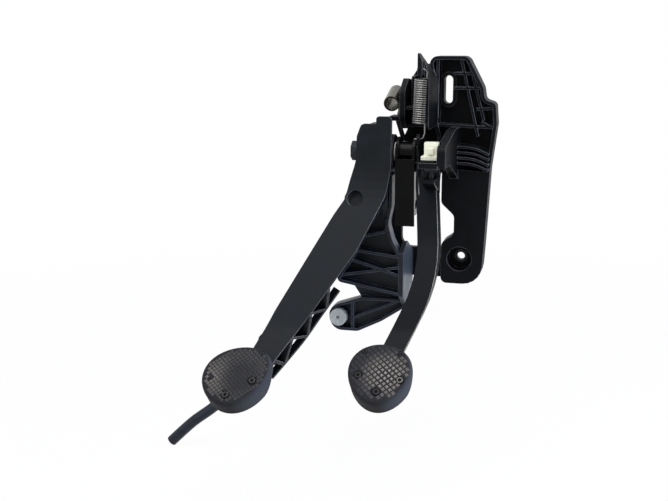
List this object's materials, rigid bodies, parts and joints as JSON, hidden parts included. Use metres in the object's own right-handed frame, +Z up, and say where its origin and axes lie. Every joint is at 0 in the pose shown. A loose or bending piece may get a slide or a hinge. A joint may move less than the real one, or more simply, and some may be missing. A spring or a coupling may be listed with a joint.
{
  "type": "pedal box",
  "caption": "Hanging pedal box: moulded bracket, brake and clutch pedals on a common pivot bolt, return spring, stop lamp switch, clutch master cylinder and supply hose.",
  "frame": {"origin": "on the bulkhead face, midway between the two lower bolt holes", "axes": "+X to the driver's right, +Y forward through the bulkhead along the bolts, +Z up"},
  "size_m": [0.3894, 0.3039, 0.4796],
  "materials": {
    "bracket_moulding": "satin",
    "clutch_moulding": "satin",
    "black_paint": "gloss",
    "arm_paint": "satin",
    "pad_rubber": "matte",
    "buffer_rubber": "matte",
    "seal_rubber": "matte",
    "hose_rubber": "satin",
    "plated_steel": "satin",
    "bolt_steel": "satin",
    "zinc_steel": "satin",
    "spring_steel": "gloss",
    "insert_brass": "satin",
    "bush_plastic": "matte",
    "cream_plastic": "satin",
    "switch_black": "satin",
    "plunger_plastic": "satin",
    "terminal_brass": "satin",
    "cylinder_plastic": "satin",
    "piston_alloy": "satin"
  },
  "bodies": {
    "bracket": {"main_bracket": "bracket_moulding", "clutch_leg": "bracket_moulding", "leg_screws": "plated_steel", "bolt_bushes": "zinc_steel", "rolled_eye": "zinc_steel", "eye_screws": "plated_steel", "stop_buffer": "buffer_rubber", "pivot_bolt": "bolt_steel", "pivot_washer": "plated_steel", "pivot_insert": "insert_brass", "switch_body": "cream_plastic", "switch_collar": "switch_black", "switch_clip": "plated_steel", "switch_terminals": "terminal_brass", "cylinder_body": "cylinder_plastic", "cylinder_screws": "plated_steel", "cylinder_circlip": "plated_steel", "supply_elbow": "switch_black", "supply_hose": "hose_rubber", "brake_spring": "spring_steel", "piston_spring": "spring_steel"},
    "brake_pedal": {"brake_tube": "black_paint", "brake_arm": "arm_paint", "brake_fork": "black_paint", "spring_ear": "black_paint", "brake_pad_plate": "arm_paint", "brake_pad_rubber": "pad_rubber", "brake_bush_left": "bush_plastic", "brake_bush_right": "bush_plastic"},
    "clutch_pedal": {"clutch_arm": "clutch_moulding", "clutch_pad_rubber": "pad_rubber", "clutch_bush_left": "bush_plastic", "clutch_bush_right": "bush_plastic"},
    "push_rod": {"push_rod": "plated_steel", "push_rod_pin": "plated_steel", "pin_clip": "plated_steel"},
    "piston": {"clutch_piston": "piston_alloy", "piston_seals": "seal_rubber"},
    "plunger": {"switch_plunger": "plunger_plastic"}
  },
  "joints": [
    {"name": "brake_hinge", "type": "hinge", "parent": "bracket", "child": "brake_pedal", "pos_m": [0.025, -0.07, 0.126], "axis": [1, 0, 0], "range_deg": [0, 15], "stiffness_Nm_per_rad": 4, "springref_deg": -28.65, "deforming": ["brake_spring"]},
    {"name": "clutch_hinge", "type": "hinge", "parent": "bracket", "child": "clutch_pedal", "pos_m": [-0.027, -0.07, 0.126], "axis": [1, 0, 0], "range_deg": [0, 26], "stiffness_Nm_per_rad": 4, "springref_deg": -34.38},
    {"name": "push_rod_hinge", "type": "hinge", "parent": "clutch_pedal", "child": "push_rod", "pos_m": [-0.045, -0.08575, 0.05779], "axis": [1, 0, 0], "range_deg": [-26, 0]},
    {"name": "piston_slide", "type": "slide", "parent": "bracket", "child": "piston", "axis": [0, 1, 0], "range_m": [0, 0.0315], "deforming": ["piston_spring"]},
    {"name": "plunger_slide", "type": "slide", "parent": "bracket", "child": "plunger", "axis": [0, 0, -1], "range_m": [0, 0.004]}
  ],
  "couplings": [
    {"joint": "push_rod_hinge", "follows": "clutch_hinge", "ratio": -1},
    {"joint": "piston_slide", "follows": "clutch_hinge", "m_per_rad": 0.069401},
    {"joint": "plunger_slide", "follows": "brake_hinge", "m_per_rad": 0.01525}
  ]
}
